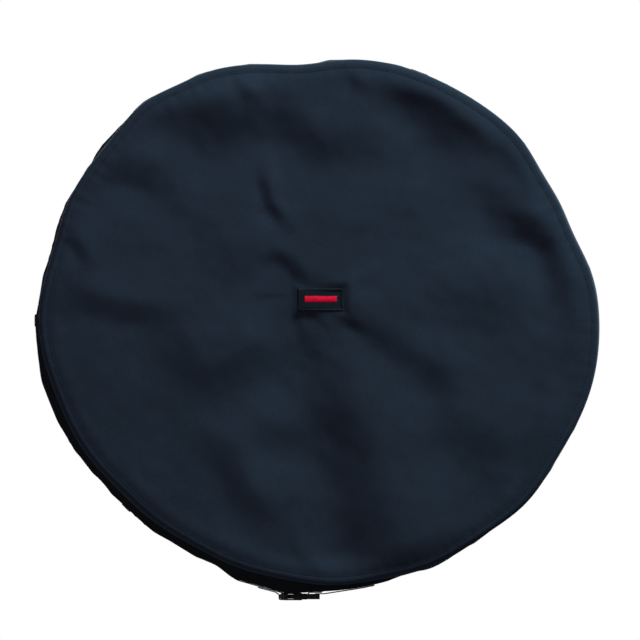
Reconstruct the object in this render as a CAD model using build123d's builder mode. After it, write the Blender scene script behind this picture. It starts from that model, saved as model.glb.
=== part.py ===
"""Spare tire cover with a cinch strap, upright as it hangs on a wheel.

The wheel's axis is Y.  The round face looks towards -Y, the open back towards
+Y, and +Z is up.  The origin is the middle of the space that holds the wheel.
Every length is in millimetres.
"""
from build123d import *
import os
from math import acos, asin, atan2, cos, degrees, hypot, radians, sin

# ---------------------------------------------------------------- driving sizes
cover_radius = 350.0
cover_depth = 200.0
cloth = 1.5
shoulder = 10.0            # radius between the round face and the side band
back_shoulder = 20.0       # radius between the side band and the back skirt
mouth_radius = 261.0       # clear radius of the open back, inside the hem
hem_width = 21.0
casing_gap = 3.0
thread = 0.5               # how far a seam's thread stands proud
thread_width = 0.8
tape_width = 10.0          # binding over the raw edges inside each seam
tape = 2.4

label_centre = (2.0, 23.0)  # across and up, on the round face
label_size = (58.0, 29.0)
label_cloth = 0.8
bar_size = (41.0, 8.7)
bar_rise = 1.0             # the red bar sits this far above the label's middle

web = 1.3                  # webbing thickness
web_width = 20.0
strap_y = 56.0             # middle of the webbing along the wheel's axis
guide_angles = (0, 45, 90, 135, 180, 225, 315)
guide_length = 15.0        # along the strap
guide_foot = 6.0           # sewn foot on each side of the strap
guide_cloth = 1.2

socket_left = -43.0
mouth_x = -15.0            # where the plug enters the socket
plug_right = 8.0
socket_width = 30.0
socket_thick = 9.6
socket_wall = 1.6
slot_half = 11.0           # half the width of every webbing slot
prong_thick = 5.4
prong_offset = 9.6         # prong pivot from the buckle's middle line
prong_pivot_x = -12.6
knuckle = 1.3
knuckle_gap = 0.05
tail_angle = 13.0          # where the free end of the webbing stops

# ---------------------------------------------------------------- worked out
front_y = -cover_depth / 2
back_y = cover_depth / 2
face_seam_y = front_y + shoulder
back_seam_y = back_y - back_shoulder
skirt_edge = mouth_radius + hem_width
fold_radius = casing_gap / 2 + cloth
tape_outer = cover_radius - cloth - 0.1
topstitch_radius = cover_radius - shoulder - 1.5

buckle_in = cover_radius + 2.9           # the socket's face towards the band
buckle_out = buckle_in + socket_thick
buckle_mid = (buckle_in + buckle_out) / 2
socket_plan = (mouth_x + socket_left) / 2
load_layer = cover_radius + 2.35         # webbing that comes in under the plug
tail_layer = load_layer + web + 0.5      # webbing that goes out over it
over_layer = buckle_mid + 2.05           # webbing over the plug's middle bar
strap_radius = cover_radius + web / 2
tail_radius = cover_radius + 1.5 * web + 0.3

os.makedirs("parts", exist_ok=True)


def save(builder, name):
    """Label a finished piece and write it."""
    builder.part.label = name
    export_step(builder.part, f"parts/{name}.step")


def radial_plane(angle):
    """Plane through the wheel's axis: local x is outward, local y is along the axis."""
    a = radians(angle)
    return Plane(origin=(0, 0, 0), x_dir=(cos(a), 0, sin(a)), z_dir=(-sin(a), 0, cos(a)))


def facing_plane(y):
    """Plane square to the wheel's axis, drawn across (X) and up (Z), normal towards -Y."""
    return Plane.XZ.offset(-y)


def plan_plane(depth):
    """Plane of the buckle's plan, at this distance below the wheel's axis."""
    return Plane.XY.offset(-depth)


def block(x, y, depth, mode=Mode.ADD):
    """Box between two x, two y (from the strap's middle) and two depths below the axis."""
    with BuildSketch(plan_plane(depth[1])) as plan:
        with Locations(((x[0] + x[1]) / 2, strap_y + (y[0] + y[1]) / 2)):
            Rectangle(x[1] - x[0], y[1] - y[0])
    extrude(plan.sketch, amount=depth[1] - depth[0], mode=mode)


def tangent_angle(x, depth, radius):
    """Angle from straight down at which a line from this point touches the circle."""
    side = 1 if x > 0 else -1
    return side * (degrees(atan2(abs(x), depth)) + degrees(acos(radius / hypot(x, depth))))


def on_circle(radius, angle):
    """Point on the circle, at an angle from straight down, positive to the right."""
    return (radius * sin(radians(angle)), -radius * cos(radians(angle)))


# ---------------------------------------------------------------- round face
with BuildPart() as front_panel:
    with BuildSketch(Plane.XY):
        with BuildLine():
            flat = cover_radius - shoulder
            Polyline((flat, front_y), (0, front_y), (0, front_y + cloth), (flat, front_y + cloth))
            RadiusArc((flat, front_y + cloth), (cover_radius - cloth, face_seam_y), -(shoulder - cloth))
            Line((cover_radius - cloth, face_seam_y), (cover_radius, face_seam_y))
            RadiusArc((cover_radius, face_seam_y), (flat, front_y), shoulder)
        make_face()
    revolve(axis=Axis.Y)
save(front_panel, "front_panel")

with BuildPart() as face_topstitch:
    with BuildSketch(Plane.XY):
        with Locations((topstitch_radius, front_y - thread / 2)):
            Rectangle(thread_width, thread)
    revolve(axis=Axis.Y)
save(face_topstitch, "face_topstitch")

with BuildPart() as front_seam_tape:
    with BuildSketch(Plane.XY):
        with Locations((tape_outer - tape_width / 2, face_seam_y)):
            Rectangle(tape_width, tape)
    revolve(axis=Axis.Y)
save(front_seam_tape, "front_seam_tape")

# ---------------------------------------------------------------- side band
band_length = back_seam_y - face_seam_y
with BuildPart() as side_band:
    with BuildSketch(Plane.XY):
        with Locations((cover_radius - cloth / 2, face_seam_y + band_length / 2)):
            Rectangle(cloth, band_length)
    revolve(axis=Axis.Y)
save(side_band, "side_band")

join_angle = 67.5
join_half = degrees(12.0 / cover_radius)
join_clear = tape / 2 + 0.5
with BuildPart() as band_join_tape:
    with BuildSketch(radial_plane(join_angle - join_half)):
        with Locations((cover_radius - cloth - 0.5, face_seam_y + band_length / 2)):
            Rectangle(1.0, band_length - 2 * join_clear)
    revolve(axis=-Axis.Y, revolution_arc=2 * join_half)
save(band_join_tape, "band_join_tape")

join_rows = (join_angle - 0.6 * join_half, join_angle + 0.6 * join_half)
join_row_end = strap_y - web_width / 2 - guide_foot
with BuildPart() as band_join_stitching:
    for row in join_rows:
        with BuildSketch(radial_plane(row)):
            middle = (face_seam_y + 2 + join_row_end) / 2
            with Locations((cover_radius + thread / 2 - 0.02, middle)):
                Rectangle(thread, join_row_end - face_seam_y - 2)
        extrude(amount=thread_width / 2, both=True)
    with BuildSketch(Plane.XY):
        with Locations((cover_radius - cloth / 2, 0)):
            Rectangle(cloth, cover_depth)
    revolve(axis=Axis.Y, mode=Mode.SUBTRACT)
save(band_join_stitching, "band_join_stitching")

# ---------------------------------------------------------------- open back
with BuildPart() as rear_skirt:
    with BuildSketch(Plane.XY):
        with BuildLine():
            turn = cover_radius - back_shoulder
            Polyline((turn, back_y), (skirt_edge, back_y), (skirt_edge, back_y - cloth),
                     (turn, back_y - cloth))
            RadiusArc((turn, back_y - cloth), (cover_radius - cloth, back_seam_y), back_shoulder - cloth)
            Line((cover_radius - cloth, back_seam_y), (cover_radius, back_seam_y))
            RadiusArc((cover_radius, back_seam_y), (turn, back_y), -back_shoulder)
        make_face()
    revolve(axis=Axis.Y)
save(rear_skirt, "rear_skirt")

with BuildPart() as rear_seam_tape:
    with BuildSketch(Plane.XY):
        with Locations((tape_outer - tape_width / 2, back_seam_y)):
            Rectangle(tape_width, tape)
    revolve(axis=Axis.Y)
save(rear_seam_tape, "rear_seam_tape")

rear_row_y = back_seam_y - 3.5
with BuildPart() as rear_seam_stitching:
    with BuildSketch(Plane.XY):
        with Locations((cover_radius + thread / 2, rear_row_y)):
            Rectangle(thread, thread_width)
    revolve(axis=Axis.Y)
save(rear_seam_stitching, "rear_seam_stitching")

fold_r = mouth_radius + fold_radius
casing_front = back_y - 2 * fold_radius
with BuildPart() as hem_casing:
    with BuildSketch(Plane.XY):
        with BuildLine():
            Polyline((fold_r, back_y), (skirt_edge, back_y), (skirt_edge, back_y - cloth),
                     (fold_r, back_y - cloth))
            RadiusArc((fold_r, back_y - cloth), (fold_r, casing_front + cloth), -casing_gap / 2)
            Polyline((fold_r, casing_front + cloth), (skirt_edge, casing_front + cloth),
                     (skirt_edge, casing_front), (fold_r, casing_front))
            RadiusArc((fold_r, casing_front), (fold_r, back_y), fold_radius)
        make_face()
    revolve(axis=Axis.Y)
save(hem_casing, "hem_casing")

elastic_width = 12.0
elastic = 1.6
with BuildPart() as hem_elastic:
    with BuildSketch(Plane.XY):
        with Locations((fold_r + 1 + elastic_width / 2, back_y - fold_radius)):
            Rectangle(elastic_width, elastic)
    revolve(axis=Axis.Y)
save(hem_elastic, "hem_elastic")

with BuildPart() as hem_stitching:
    with BuildSketch(Plane.XY):
        with Locations((skirt_edge - 2.5, back_y + thread / 2)):
            Rectangle(thread_width, thread)
    revolve(axis=Axis.Y)
save(hem_stitching, "hem_stitching")

# ---------------------------------------------------------------- label
with BuildPart() as label_patch:
    with BuildSketch(facing_plane(front_y)):
        with Locations(label_centre):
            RectangleRounded(*label_size, 2.0)
    extrude(amount=label_cloth)
save(label_patch, "label_patch")

label_top = front_y - label_cloth
with BuildPart() as label_bar:
    with BuildSketch(facing_plane(label_top)):
        with Locations((label_centre[0], label_centre[1] + bar_rise)):
            RectangleRounded(*bar_size, 2.0)
    extrude(amount=thread)
save(label_bar, "label_bar")

stitch_inset = 1.5
with BuildPart() as label_stitching:
    with BuildSketch(facing_plane(label_top)):
        with Locations(label_centre):
            length, height = (side - 2 * stitch_inset for side in label_size)
            RectangleRounded(length, height, 1.8)
            RectangleRounded(length - 2 * thread_width, height - 2 * thread_width, 1.0,
                             mode=Mode.SUBTRACT)
    extrude(amount=thread)
save(label_stitching, "label_stitching")

# ---------------------------------------------------------------- cinch strap
slot_x = (socket_left + 3.4, socket_left + 8.4)      # the socket's webbing slot
loop_x = (slot_x[0] + slot_x[1]) / 2
inner_pass = buckle_in + 0.95
outer_pass = buckle_out - 0.85
strap_start = degrees(asin((plug_right + 6) / strap_radius))
touch = tangent_angle(loop_x, inner_pass, strap_radius)
touch_point = on_circle(strap_radius, touch)
run = (loop_x - touch_point[0], -inner_pass - touch_point[1])
run_length = hypot(*run)
lay_back = web + 0.2
fold_end = 25.0                                       # from the tangent point
fold_start = run_length - 14.0


def on_run(distance, out):
    """Point this far from the tangent point along the straight run, and this far outside it."""
    along = (run[0] / run_length, run[1] / run_length)
    return (touch_point[0] + along[0] * distance + along[1] * out,
            touch_point[1] + along[1] * distance - along[0] * out)


with BuildPart() as cinch_strap:
    with BuildSketch(facing_plane(strap_y + web_width / 2)):
        with BuildLine():
            CenterArc((0, 0), strap_radius, 270 + strap_start, 360 - strap_start + touch)
            FilletPolyline(touch_point, (loop_x, -inner_pass), (loop_x, -outer_pass),
                           (socket_left - 1.6, -outer_pass), on_run(fold_start, lay_back),
                           on_run(fold_end, lay_back), radius=1.6)
        trace(line_width=web)
    extrude(amount=web_width)
save(cinch_strap, "cinch_strap")

with BuildPart() as anchor_stitching:
    for row in (fold_end + 2, fold_end + 12):
        foot = on_run(row, lay_back + web / 2 + thread / 2)
        with BuildSketch(facing_plane(strap_y + web_width / 2 - 1.5)):
            with Locations(Location(foot + (0,), (0, 0, degrees(atan2(run[1], run[0]))))):
                Rectangle(thread_width, thread)
        extrude(amount=web_width - 3)
save(anchor_stitching, "anchor_stitching")

half_web = web_width / 2
bridge_in = cover_radius + web + 0.2
bridge_out = bridge_in + guide_cloth
foot_out = cover_radius + guide_cloth
half_arc = degrees(guide_length / 2 / cover_radius)
foot_end = half_web + 1 + guide_foot
guide_half = [(cover_radius, foot_end), (foot_out, foot_end), (foot_out, half_web + 2),
              (bridge_out, half_web + 0.5)]
guide_inside = [(bridge_in, half_web + 0.6), (cover_radius, half_web + 0.6)]
guide_profile = ([(r, -y) for r, y in guide_half] + guide_half[::-1] + guide_inside[::-1]
                 + [(r, -y) for r, y in guide_inside])
for number, angle in enumerate(guide_angles, 1):
    with BuildPart() as strap_guide:
        with BuildSketch(radial_plane(angle - half_arc)):
            with BuildLine():
                Polyline([(r, strap_y + y) for r, y in guide_profile], close=True)
            make_face()
        revolve(axis=-Axis.Y, revolution_arc=2 * half_arc)
    save(strap_guide, f"strap_guide_{number}")

with BuildPart() as guide_bartacks:
    tack_offset = foot_end - guide_foot / 2 + 0.6
    tack_half = degrees(guide_length * 0.36 / cover_radius)
    for angle in guide_angles:
        for side in (-tack_offset, tack_offset):
            with BuildSketch(radial_plane(angle - tack_half)):
                with Locations((foot_out + thread / 2, strap_y + side)):
                    Rectangle(thread, 2 * thread_width)
            revolve(axis=-Axis.Y, revolution_arc=2 * tack_half)
save(guide_bartacks, "guide_bartacks")

# ---------------------------------------------------------------- buckle socket
socket_half = socket_width / 2
cavity = (buckle_in + socket_wall, buckle_out - socket_wall)
cavity_left = slot_x[1] + 1.2
land_left = mouth_x - 10.0
land_inner = 12.4
with BuildPart() as buckle_socket:
    with BuildSketch(facing_plane(strap_y + socket_half)):
        with Locations((socket_plan, -buckle_mid)):
            Rectangle(mouth_x - socket_left, socket_thick)
        fillet(vertices().group_by(Axis.X)[0], radius=socket_thick / 2 - 0.1)
        fillet(vertices().group_by(Axis.X)[-1], radius=1.0)
    extrude(amount=socket_width)
    with BuildSketch(plan_plane(buckle_out + 1)):
        with Locations((socket_plan, strap_y)):
            Rectangle(mouth_x - socket_left, socket_width)
        fillet(vertices().group_by(Axis.X)[0], radius=5.0)
        fillet(vertices().group_by(Axis.X)[-1], radius=1.5)
    extrude(amount=socket_thick + 2, mode=Mode.INTERSECT)
    block(slot_x, (-slot_half, slot_half), (buckle_in - 1, buckle_out + 1), Mode.SUBTRACT)
    for shave in ((buckle_in - 1, buckle_in + 2.6), (buckle_out - 2.5, buckle_out + 1)):
        block((socket_left - 1, slot_x[0]), (-slot_half, slot_half), shave, Mode.SUBTRACT)
    block((cavity_left, mouth_x + 1), (-land_inner, land_inner), cavity, Mode.SUBTRACT)
    block((cavity_left, land_left), (-socket_half - 1, socket_half + 1), cavity, Mode.SUBTRACT)
    with BuildSketch(plan_plane(buckle_out + 1)):
        scoop = 9.5
        with Locations(*[((cavity_left + land_left) / 2, strap_y + s * (socket_half + scoop - 1.4))
                         for s in (-1, 1)]):
            Circle(scoop)
    extrude(amount=socket_thick + 2, mode=Mode.SUBTRACT)
save(buckle_socket, "buckle_socket")

# ---------------------------------------------------------------- buckle plug
plug_half = socket_half - 1
shoulder_x = (mouth_x + 0.4, mouth_x + 6.0)
pocket = (buckle_mid - prong_thick / 2 - 0.2, buckle_mid + prong_thick / 2 + 0.2)
middle_bar_x = (-3.6, 0.0)
end_bar_x = (plug_right - 3.4, plug_right)
bar_in = tail_layer + web / 2 + 0.6
pivots = [(prong_pivot_x, strap_y + side * prong_offset) for side in (-1, 1)]
with BuildPart() as buckle_plug:
    block(shoulder_x, (-plug_half, plug_half), (buckle_in + 1, buckle_out - 1))
    for side in (-1, 1):
        rail = sorted((side * slot_half, side * plug_half))
        block((shoulder_x[1], plug_right), rail, (buckle_in + 1.4, buckle_out - 1.3))
    end_corners = edges().filter_by(Axis.Z).group_by(Axis.X)[-1].sort_by(Axis.Y)
    fillet((end_corners[0], end_corners[-1]), radius=2.0)
    block(middle_bar_x, (-slot_half, slot_half), (bar_in, over_layer - web / 2 - 0.5))
    block(end_bar_x, (-slot_half, slot_half), (bar_in, buckle_out - 1.5))
    block((cavity_left + 0.8, shoulder_x[0]), (-2.2, 2.2), (buckle_mid - 1.7, buckle_mid + 1.7))
    with BuildSketch(plan_plane(pocket[1])):
        with Locations(*pivots):
            Circle(knuckle + knuckle_gap)
    extrude(amount=pocket[1] - pocket[0], mode=Mode.SUBTRACT)
    for side in (-1, 1):
        passage = sorted((side * (prong_offset - 1.6), side * (prong_offset + 1.25)))
        block((shoulder_x[0] - 1, prong_pivot_x - 0.4), passage, pocket, Mode.SUBTRACT)
save(buckle_plug, "buckle_plug")

# ---------------------------------------------------------------- buckle prongs
barb_x = land_left - 0.4
tip_x = cavity_left + 0.4
for name, side in (("buckle_prong_front", -1), ("buckle_prong_rear", 1)):
    with BuildPart() as buckle_prong:
        with BuildSketch(plan_plane(buckle_mid + prong_thick / 2)):
            with BuildLine():
                outline = [(prong_pivot_x, 8.6), (prong_pivot_x, 10.6), (barb_x, 10.6),
                           (barb_x, 14.2), (barb_x - 2.4, 14.2), (tip_x + 1.2, 11.6),
                           (tip_x, 10.4), (tip_x, 8.8)]
                Polyline([(x, strap_y + side * y) for x, y in outline], close=True)
            make_face()
            with Locations((prong_pivot_x, strap_y + side * prong_offset)):
                Circle(knuckle)
        extrude(amount=prong_thick)
    save(buckle_prong, name)

# ---------------------------------------------------------------- free end of the webbing
turn_x = (shoulder_x[1] + middle_bar_x[0]) / 2
drop_x = (middle_bar_x[1] + end_bar_x[0]) / 2
leave = (plug_right + 6, -tail_layer)
tail_touch = tangent_angle(leave[0], tail_layer, tail_radius)
with BuildPart() as strap_tail:
    with BuildSketch(facing_plane(strap_y + half_web)):
        with BuildLine():
            FilletPolyline((plug_right + 3, -load_layer), (turn_x, -load_layer),
                           (turn_x, -over_layer), (drop_x, -over_layer), (drop_x, -tail_layer),
                           leave, on_circle(tail_radius, tail_touch), radius=1.6)
            CenterArc((0, 0), tail_radius, 270 + tail_touch, tail_angle - tail_touch)
        trace(line_width=web)
    extrude(amount=web_width)
save(strap_tail, "strap_tail")

with BuildPart() as tail_stitching:
    for angle in (tail_angle - 0.5, tail_angle - 2.1):
        with BuildSketch(radial_plane(270 + angle)):
            with Locations((tail_radius + web / 2 + thread / 2, strap_y)):
                Rectangle(thread, web_width - 3)
        extrude(amount=thread_width / 2, both=True)
    with BuildSketch(facing_plane(strap_y + half_web)):
        Circle(tail_radius + web / 2)
    extrude(amount=web_width, mode=Mode.SUBTRACT)
save(tail_stitching, "tail_stitching")
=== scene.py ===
"""Spare tire cover: the visible cloth, stitching, webbing and buckle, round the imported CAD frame.

Metres, in the CAD's frame: the wheel's axis is Y, the round face looks towards -Y, +Z is up.
An angle is counted in the face's plane from +X towards +Z, in radians inside the functions.
"""
import math

import bmesh
import bpy
import numpy as np
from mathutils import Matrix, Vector


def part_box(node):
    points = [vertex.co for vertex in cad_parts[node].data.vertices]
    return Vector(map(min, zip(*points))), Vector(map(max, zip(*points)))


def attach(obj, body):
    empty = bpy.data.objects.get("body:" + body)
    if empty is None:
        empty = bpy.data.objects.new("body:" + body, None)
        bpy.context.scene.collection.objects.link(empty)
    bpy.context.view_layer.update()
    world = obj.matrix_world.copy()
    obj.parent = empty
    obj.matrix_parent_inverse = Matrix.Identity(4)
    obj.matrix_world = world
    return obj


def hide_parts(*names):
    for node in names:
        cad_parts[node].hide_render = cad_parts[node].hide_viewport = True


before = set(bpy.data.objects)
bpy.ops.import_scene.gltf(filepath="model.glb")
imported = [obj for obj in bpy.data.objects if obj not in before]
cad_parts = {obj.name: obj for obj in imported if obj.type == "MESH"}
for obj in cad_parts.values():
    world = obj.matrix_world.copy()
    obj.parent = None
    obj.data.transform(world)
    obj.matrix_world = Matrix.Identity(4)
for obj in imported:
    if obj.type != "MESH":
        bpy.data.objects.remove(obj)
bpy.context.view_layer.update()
mm = 0.001
turn = 2 * np.pi
draw = np.random.default_rng(11)

# ---------------------------------------------------------------- sizes, from the frame
band_low, band_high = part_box("side_band")
face_low, face_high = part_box("front_panel")
skirt_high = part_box("rear_skirt")[1]
hem_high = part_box("hem_casing")[1]
elastic_low, elastic_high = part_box("hem_elastic")
strap_low, strap_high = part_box("cinch_strap")
socket_low, socket_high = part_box("buckle_socket")
plug_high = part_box("buckle_plug")[1]
patch_low, patch_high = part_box("label_patch")
bar_low, bar_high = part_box("label_bar")

radius = band_high[0]
face_y = face_low[1]
shoulder = face_high[1] - face_low[1]
front_seam_y = band_low[1]
back_seam_y = band_high[1]
band_length = back_seam_y - front_seam_y
back_y = skirt_high[1]
back_shoulder = back_y - back_seam_y
hem_outer = hem_high[0]
hem_y = (elastic_low[1] + elastic_high[1]) / 2
elastic_width = 12 * mm
web = 1.3 * mm
web_width = strap_high[1] - strap_low[1]
strap_y = (strap_low[1] + strap_high[1]) / 2
cloth = 0.9 * mm
stitch_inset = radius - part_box("face_topstitch")[1][0] + 0.4 * mm
guide_angles = [math.radians(a) for a in (0, 45, 90, 135, 180, 225, 315)]
join_angle = math.radians(67.5)
strap_part = (strap_y - front_seam_y) / band_length


# ---------------------------------------------------------------- small maths
def smooth(x):
    """Smooth step from 0 to 1."""
    x = np.clip(x, 0.0, 1.0)
    return x * x * (3 - 2 * x)


def hump(x, width):
    """Bell curve of this half width."""
    return np.exp(-(x / width) ** 2)


def signed_power(x, exponent):
    """Power of a number's size, with its sign kept: squares off a sine."""
    return np.sign(x) * np.abs(x) ** exponent


def wrapped(angle):
    """Angle between minus and plus half a turn."""
    return (np.asarray(angle) + np.pi) % turn - np.pi


def round_axis(r, t, y):
    """Points at this radius, angle and place along the wheel's axis."""
    return np.stack([r * np.cos(t), y + 0 * r, r * np.sin(t)], axis=-1)


def waves(u, v, table):
    """Sum of plane waves: each row is (waves along u, waves along v, height, phase)."""
    total = np.zeros(np.broadcast(u, v).shape)
    for along_u, along_v, height, phase in table:
        total = total + height * np.sin(along_u * u + along_v * v + phase)
    return total


def wave_table(count, u_range, v_range, height, whole=True):
    """Seeded rows for waves(), with whole numbers of waves along u where it closes on itself."""
    rows = []
    for _ in range(count):
        along_u = draw.uniform(*u_range)
        rows.append((round(along_u) if whole else along_u,
                     draw.uniform(*v_range), height * draw.uniform(0.5, 1.0), draw.uniform(0, turn)))
    return rows


# ---------------------------------------------------------------- outline of the round face
# (angle in degrees, how far out in mm, width in degrees): the soft corners and flats of the rim
rim_shape = [(19, -12, 9), (32, -9, 8), (70, 2, 10), (94, -10, 9), (115, 6, 8), (129, 10, 8),
             (166, -7, 9), (198, -6, 11), (221, -11, 15), (241, -6, 10), (273, 6, 9), (294, 10, 14),
             (318, 7, 9), (347, 3, 12)]


def rim(t):
    """Radius of the front seam at an angle: a little wider than tall, with soft corners."""
    r = radius - 2 * mm + 12 * mm * np.cos(2 * t)
    for angle, out, width in rim_shape:
        r = r + out * mm * hump(wrapped(t - math.radians(angle)), math.radians(width))
    return r


strap_leaves = 15.7  # degrees from straight down, where the strap leaves the band for the socket


def near_buckle(t):
    """1 at the bottom, where the strap lies on the CAD's circle, and 0 a good way round from it."""
    return smooth((math.radians(22) - np.abs(wrapped(t + np.pi / 2))) / math.radians(6.5))


def swell_at_socket(t):
    """The cloth pushes out between the two ends of the strap, until it meets the strap and the buckle."""
    right = np.degrees(wrapped(t + np.pi / 2))
    under_strap = radius / np.cos(np.radians(np.clip(right + strap_leaves, 0, 30))) - radius
    depth = radius + 1.4 * mm + 1.1 * mm * smooth((-1.2 - right) / 0.6)
    under_buckle = depth / np.cos(np.radians(np.clip(right, -30, 30))) - radius
    return np.minimum(under_strap, under_buckle) * smooth((2.8 - right) / 1.4)


def back_rim(t):
    """Radius of the rear seam: a little rounder than the face, and full under the buckle."""
    follow = 0.6 + 0.35 * smooth((np.sin(t) + 0.1) / 0.5)
    r = radius + follow * (rim(t) - radius) + 7 * mm * hump(wrapped(t - math.radians(194)), math.radians(15))
    full = radius - 0.05 * mm
    return r + (full - r) * near_buckle(t) + swell_at_socket(t)


facet_corners = np.sort((np.arange(34) + draw.uniform(-0.28, 0.28, 34)) * turn / 34 % turn)
facet_corners = np.concatenate([facet_corners, [facet_corners[0] + turn]])


def facet(t):
    """0 at each gather of the band and 1 half way between two, where the cloth is pulled straight."""
    t = (np.asarray(t) - facet_corners[0]) % turn + facet_corners[0]
    i = np.clip(np.searchsorted(facet_corners, t, side="right") - 1, 0, len(facet_corners) - 2)
    part = (t - facet_corners[i]) / (facet_corners[i + 1] - facet_corners[i])
    return 4 * part * (1 - part)


pleat_drift = [(3, 1.3, 0.4), (5, 1.1, 2.2), (8, 0.8, 4.1), (13, 0.6, 1.0)]


def pleat(t, count, power=1.4):
    """1 on each pleat's crest and 0 in its valley, unevenly spaced round the mouth."""
    phase = count * t
    for number, swing, start in pleat_drift:
        phase = phase + swing * np.sin(number * t + start)
    return (0.5 + 0.5 * np.cos(phase)) ** power


pucker_table = wave_table(7, (70, 170), (0, 0), 1.0)
band_table = wave_table(9, (9, 34), (-3.0, 3.0), 1.0)
fine_band_table = wave_table(8, (40, 90), (-4.0, 4.0), 1.0)
skirt_table = wave_table(6, (12, 40), (-2.0, 2.0), 1.0)


def crumple_table(count, longest, shortest):
    """Seeded waves of every direction whose steepness is the same at every length."""
    rows = []
    for _ in range(count):
        number = turn / draw.uniform(shortest, longest)
        way = draw.uniform(0, turn)
        rows.append((number * math.cos(way), number * math.sin(way), 1 / number / math.sqrt(count / 2),
                     draw.uniform(0, turn)))
    return rows


soft_crumple = crumple_table(30, 150 * mm, 60 * mm)
fine_crumple = crumple_table(46, 46 * mm, 17 * mm)

# ---------------------------------------------------------------- folds of the round face
# Each fold: the line of its steepest part (mm, right and up), how steep it is there, half its width
# in mm and, where it isn't 1, how much wider it is at its end. The cloth stands higher to the left of
# the line's direction. True at the end keeps a fold steep at its start, beside the label.
folds = [
    # broad dents below the top edge
    ([(-280, 312), (-192, 272), (-130, 256), (-84, 260), (-38, 282), (24, 272)], 0.28, 38),
    ([(-60, 218), (12, 228), (56, 234), (116, 246)], 0.22, 28),
    ([(-316, 192), (-253, 196), (-218, 188), (-166, 176)], 0.24, 24),
    # long dent that comes down from the top right of the rim
    ([(44, 340), (120, 292), (172, 246), (246, 174)], 0.33, 34, 1.1),
    ([(120, 316), (178, 280), (230, 240)], 0.14, 24),
    # the chain of dents at the right
    ([(196, 250), (224, 178), (246, 136), (284, 112), (304, 88), (312, 40), (320, -10), (348, -70)],
     0.36, 28, 0.6),
    ([(250, 236), (266, 196), (286, 160)], 0.20, 20),
    # S-shaped crease above the label, and the short one that runs into the label
    ([(-73, 222), (-67, 176), (-60, 152), (-45, 132), (-22, 96)], 0.42, 9),
    ([(-70, 94), (-34, 75), (-8, 36)], 0.32, 11),
    # creases at the left
    ([(-338, 118), (-311, 102), (-288, 62)], 0.36, 10),
    ([(-338, 54), (-300, 34), (-266, 20), (-206, 12), (-100, 26)], 0.22, 18),
    # long folds that run out from the label
    ([(-236, 216), (-142, 117), (-66, 42)], 0.08, 24, 0.8),
    ([(-216, -62), (-136, -74), (-74, -46), (-10, 16)], 0.24, 40, 0.6),
    ([(12, -34), (22, -112), (44, -184), (66, -252), (90, -350), (98, -400)], 0.30, 34, 1.5, True),
    ([(48, 6), (98, -32), (150, -66), (210, -100)], 0.24, 20, 1.2, True),
    # folds at the lower left, the bottom, the lower right and the top edge
    ([(-140, -112), (-111, -190), (-84, -236), (-22, -292)], 0.28, 24),
    ([(-106, -132), (-40, -148), (10, -152)], 0.18, 26),
    ([(-46, -276), (-15, -306), (16, -340)], 0.26, 11),
    ([(298, -44), (283, -130), (260, -222)], 0.26, 14),
    ([(130, -118), (192, -156), (250, -196)], 0.14, 36),
    ([(-110, 330), (-98, 305), (-82, 278)], 0.26, 9),
    ([(34, 340), (45, 318), (58, 292)], 0.24, 9),
    ([(110, 50), (190, 16), (270, -20)], 0.11, 40),
    # small puckers round the label
    ([(-27, 17), (-22, 2), (-15, -22)], 0.14, 5, 1.0, True),
    ([(-5, 16), (5, 4), (22, -12)], 0.13, 5, 1.0, True),
    ([(28, 18), (46, 2), (72, -22)], 0.16, 7, 1.2, True),
    ([(-86, 34), (-58, 36), (-30, 33)], 0.14, 6, 0.8),
    ([(31, 38), (58, 52), (86, 60)], 0.10, 8, 1.2, True),
]

fold_origin = np.array([-3, -8]) * mm


def rounded_line(points, count=20):
    """Points along a smooth curve through the given ones."""
    p = np.array(points, float) * mm + fold_origin
    ends = np.vstack([2 * p[0] - p[1], p, 2 * p[-1] - p[-2]])
    out = []
    for i in range(1, len(ends) - 2):
        a, b, c, d = ends[i - 1:i + 3]
        for u in np.linspace(0, 1, count // (len(p) - 1) + 1, endpoint=i == len(ends) - 3):
            out.append(0.5 * (2 * b + (c - a) * u + (2 * a - 5 * b + 4 * c - d) * u ** 2
                              + (3 * b - a - 3 * c + d) * u ** 3))
    return np.array(out)


def fold_height(x, z, points, steep, width, grow=1.0, full_start=False):
    """Height that one fold adds to the face: a crest and a hollow beside its steep line."""
    line = rounded_line(points)
    steps = len(line) - 1
    distance, side, along = [], [], []
    for i in range(steps):
        a, d = line[i], line[i + 1] - line[i]
        part = np.clip(((x - a[0]) * d[0] + (z - a[1]) * d[1]) / max(d @ d, 1e-12), 0, 1)
        away_x, away_z = x - a[0] - part * d[0], z - a[1] - part * d[1]
        distance.append(np.hypot(away_x, away_z))
        side.append((d[0] * away_z - d[1] * away_x) / math.sqrt(d @ d))
        along.append((i + part) / steps)
    near = np.min(distance, axis=0)
    blend = 5 * mm + 0.35 * near
    weights = [np.exp(-((one - near) / blend) ** 2) for one in distance]
    total = sum(weights)
    near = sum(w * one for w, one in zip(weights, distance)) / total
    side = sum(w * one for w, one in zip(weights, side)) / total
    along = sum(w * one for w, one in zip(weights, along)) / total
    wide = width * mm * (1 + (grow - 1) * along)
    start = smooth(along / 0.1 + 0.5) if full_start else smooth(along / 0.34)
    level = side / wide / (1 + (side / wide) ** 4) ** 0.25
    height = steep * wide * level * hump(near, 2.5 * wide)
    return height * start * smooth((1 - along) / 0.34)


label_x = (patch_low[0] + patch_high[0]) / 2
label_z = (patch_low[2] + patch_high[2]) / 2
label_half = ((patch_high[0] - patch_low[0]) / 2, (patch_high[2] - patch_low[2]) / 2)


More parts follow.
